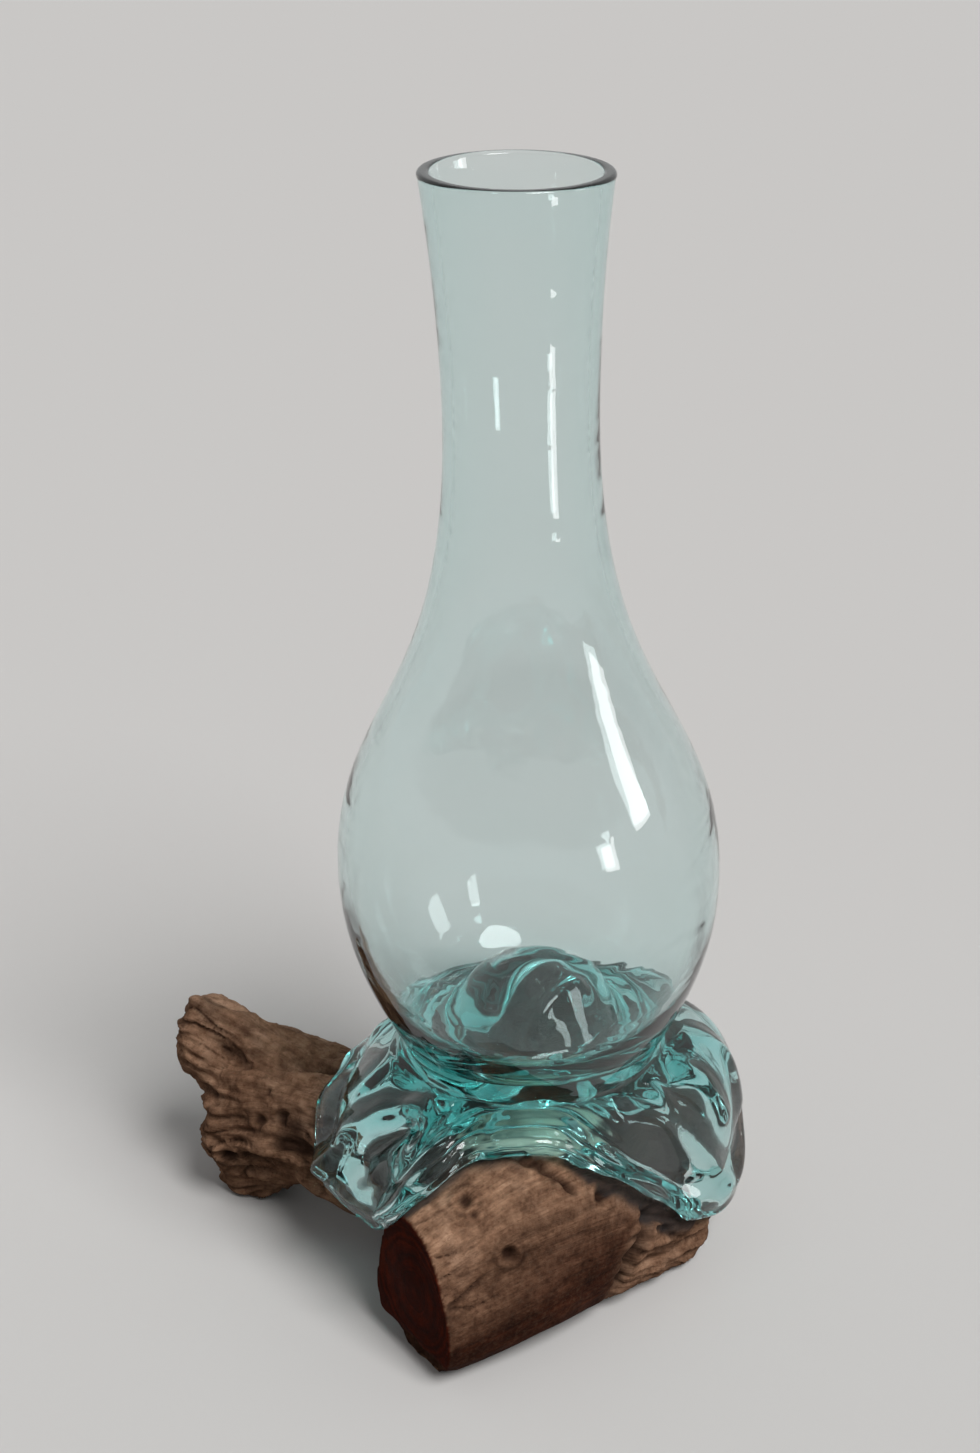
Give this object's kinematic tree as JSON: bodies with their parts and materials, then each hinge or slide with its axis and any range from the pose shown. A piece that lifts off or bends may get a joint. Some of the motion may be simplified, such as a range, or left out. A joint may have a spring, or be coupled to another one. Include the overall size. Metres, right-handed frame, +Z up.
{
  "type": "glass vase on root",
  "caption": "Bottle-shaped blown glass vase whose slumped, wavy foot sits over a gnarled piece of root; the vase lifts off the wood.",
  "frame": {"origin": "on the table, on the root's sawn underside, under the middle of the vase's collar", "axes": "+Z up along the vase, -Y towards the front, +X to the right seen from the front"},
  "size_m": [0.1551, 0.112, 0.3],
  "materials": {
    "root_wood": "weathered, brushed clean, unvarnished",
    "recycled_glass": "fire polished, clear with a blue-green tint where thick"
  },
  "bodies": {
    "root": {"root": "root_wood"},
    "vase": {"vase": "recycled_glass"}
  },
  "joints": [
    {"name": "vase_lift", "type": "slide", "parent": "root", "child": "vase", "axis": [0, 0, 1], "range_m": [0, 0.07]}
  ]
}
